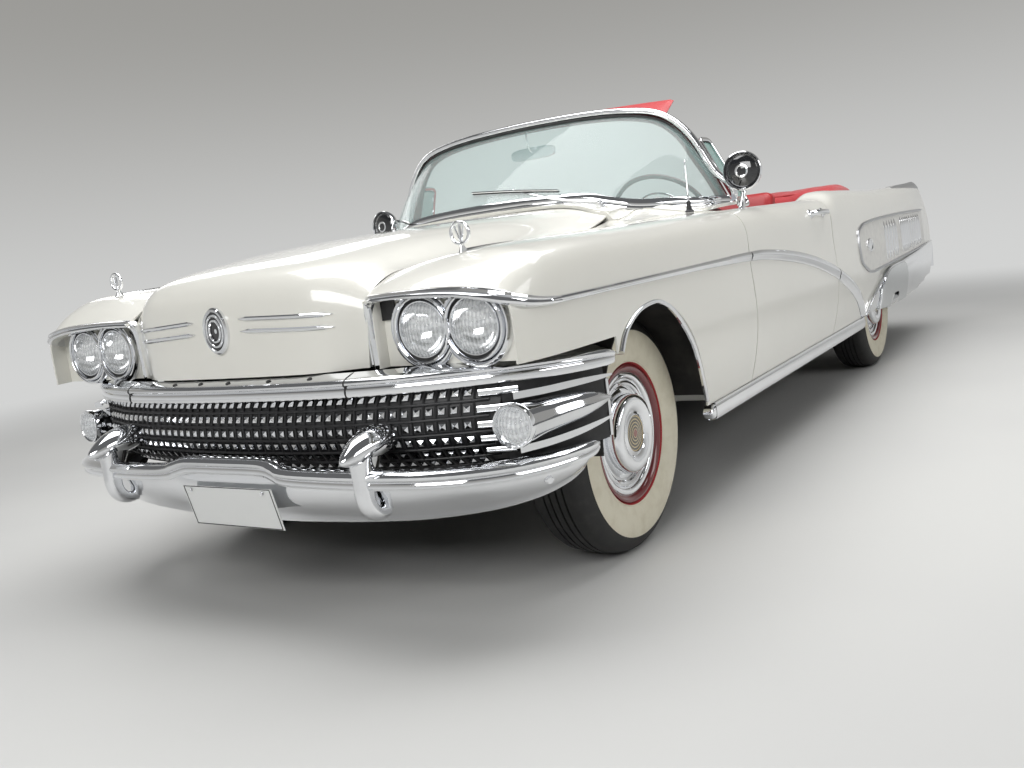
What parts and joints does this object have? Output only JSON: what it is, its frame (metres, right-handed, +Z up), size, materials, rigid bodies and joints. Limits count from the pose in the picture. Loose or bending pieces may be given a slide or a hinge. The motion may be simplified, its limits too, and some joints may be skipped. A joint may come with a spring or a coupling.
{
  "type": "convertible car",
  "caption": "Long, low open-top car with a wrapped windshield, finned rear quarters, hinged doors, hood and trunk lid, and steered front wheels.",
  "frame": {"origin": "centre of the car's outline on the ground, under the middle of its length and width", "axes": "+X to the front of the car, +Y to its left (the driver's side), +Z up"},
  "size_m": [5.768, 2.0566, 1.499],
  "materials": {
    "body_paint": "gloss",
    "chrome": "polished",
    "tyre": "matt with a cream side wall",
    "frame_black": "satin",
    "engine_iron": "satin",
    "steel": "plain",
    "underbody": "matt",
    "grille_black": "satin",
    "glass": "clear, green tint",
    "red_leather": "satin",
    "red_trim": "satin",
    "red_fabric": "matt",
    "wheel_rim_plastic": "gloss",
    "lamp_glass": "clear",
    "red_lens": "gloss"
  },
  "bodies": {
    "body": {"chassis_frame": "frame_black", "cowl": "body_paint", "dashboard": "red_trim", "engine": "engine_iron", "exhaust": "steel", "fender_left": "body_paint", "fender_right": "body_paint", "floor_pan": "underbody", "front_bumper": "chrome", "front_fittings": "chrome", "front_seat": "red_leather", "front_suspension": "frame_black", "fuel_tank": "underbody", "grille": "grille_black", "headlamps": "lamp_glass", "inner_fenders": "underbody", "nose_bar": "chrome", "quarter_left": "body_paint", "quarter_right": "body_paint", "quarter_trim": "red_trim", "rear_axle": "frame_black", "rear_bumper": "chrome", "rear_deck": "body_paint", "rear_seat": "red_leather", "rockers": "chrome", "side_trim": "chrome", "sun_visors": "red_trim", "tail_lamps": "red_lens", "top_boot": "red_fabric", "windshield_frame": "chrome", "windshield_glass": "glass", "wing_pods": "chrome"},
    "hood": {"hood": "body_paint"},
    "trunk_lid": {"trunk_lid": "body_paint"},
    "door_left": {"door_left": "body_paint", "door_trim_left": "chrome", "door_fittings_left": "chrome"},
    "door_right": {"door_right": "body_paint", "door_trim_right": "chrome", "door_fittings_right": "chrome"},
    "knuckle_left": {"knuckle_left": "steel"},
    "knuckle_right": {"knuckle_right": "steel"},
    "wheel_front_left": {"wheel_front_left": "chrome", "tyre_front_left": "tyre"},
    "wheel_front_right": {"wheel_front_right": "chrome", "tyre_front_right": "tyre"},
    "wheel_rear_left": {"wheel_rear_left": "chrome", "tyre_rear_left": "tyre"},
    "wheel_rear_right": {"wheel_rear_right": "chrome", "tyre_rear_right": "tyre"},
    "steering_wheel": {"steering_wheel": "wheel_rim_plastic"},
    "tie_rod": {"tie_rod": "steel"}
  },
  "joints": [
    {"name": "hood_hinge", "type": "hinge", "parent": "body", "child": "hood", "pos_m": [1.373, 0, 1.1], "axis": [0, -1, 0], "range_deg": [0, 50]},
    {"name": "trunk_lid_hinge", "type": "hinge", "parent": "body", "child": "trunk_lid", "pos_m": [-1.546, 0, 1.012], "axis": [0, 1, 0], "range_deg": [0, 60]},
    {"name": "door_left_hinge", "type": "hinge", "parent": "body", "child": "door_left", "pos_m": [1.1594, 1.016, 0.6], "axis": [0, 0, -1], "range_deg": [0, 65]},
    {"name": "door_right_hinge", "type": "hinge", "parent": "body", "child": "door_right", "pos_m": [1.1594, -1.016, 0.6], "axis": [0, 0, 1], "range_deg": [0, 65]},
    {"name": "steer_left", "type": "hinge", "parent": "body", "child": "knuckle_left", "pos_m": [1.967, 0.7, 0.367], "axis": [0, 0, 1], "range_deg": [-32, 32]},
    {"name": "steer_right", "type": "hinge", "parent": "body", "child": "knuckle_right", "pos_m": [1.967, -0.7, 0.367], "axis": [0, 0, 1], "range_deg": [-32, 32]},
    {"name": "wheel_front_left_spin", "type": "hinge", "parent": "knuckle_left", "child": "wheel_front_left", "pos_m": [1.967, 0.762, 0.367], "axis": [0, 1, 0], "continuous": true},
    {"name": "wheel_front_right_spin", "type": "hinge", "parent": "knuckle_right", "child": "wheel_front_right", "pos_m": [1.967, -0.762, 0.367], "axis": [0, 1, 0], "continuous": true},
    {"name": "wheel_rear_left_spin", "type": "hinge", "parent": "body", "child": "wheel_rear_left", "pos_m": [-1.272, 0.7745, 0.367], "axis": [0, 1, 0], "continuous": true},
    {"name": "wheel_rear_right_spin", "type": "hinge", "parent": "body", "child": "wheel_rear_right", "pos_m": [-1.272, -0.7745, 0.367], "axis": [0, 1, 0], "continuous": true},
    {"name": "steering_wheel_turn", "type": "hinge", "parent": "body", "child": "steering_wheel", "pos_m": [0.58, 0.41, 1.011], "axis": [0.829, 0, -0.5592], "range_deg": [-640, 640]},
    {"name": "tie_rod_slide", "type": "slide", "parent": "body", "child": "tie_rod", "axis": [0, 1, 0], "range_m": [-0.081, 0.081]}
  ],
  "couplings": [
    {"joint": "steer_right", "follows": "steer_left", "ratio": 1},
    {"joint": "steering_wheel_turn", "follows": "steer_left", "ratio": -20},
    {"joint": "tie_rod_slide", "follows": "steer_left", "m_per_rad": -0.1423}
  ]
}
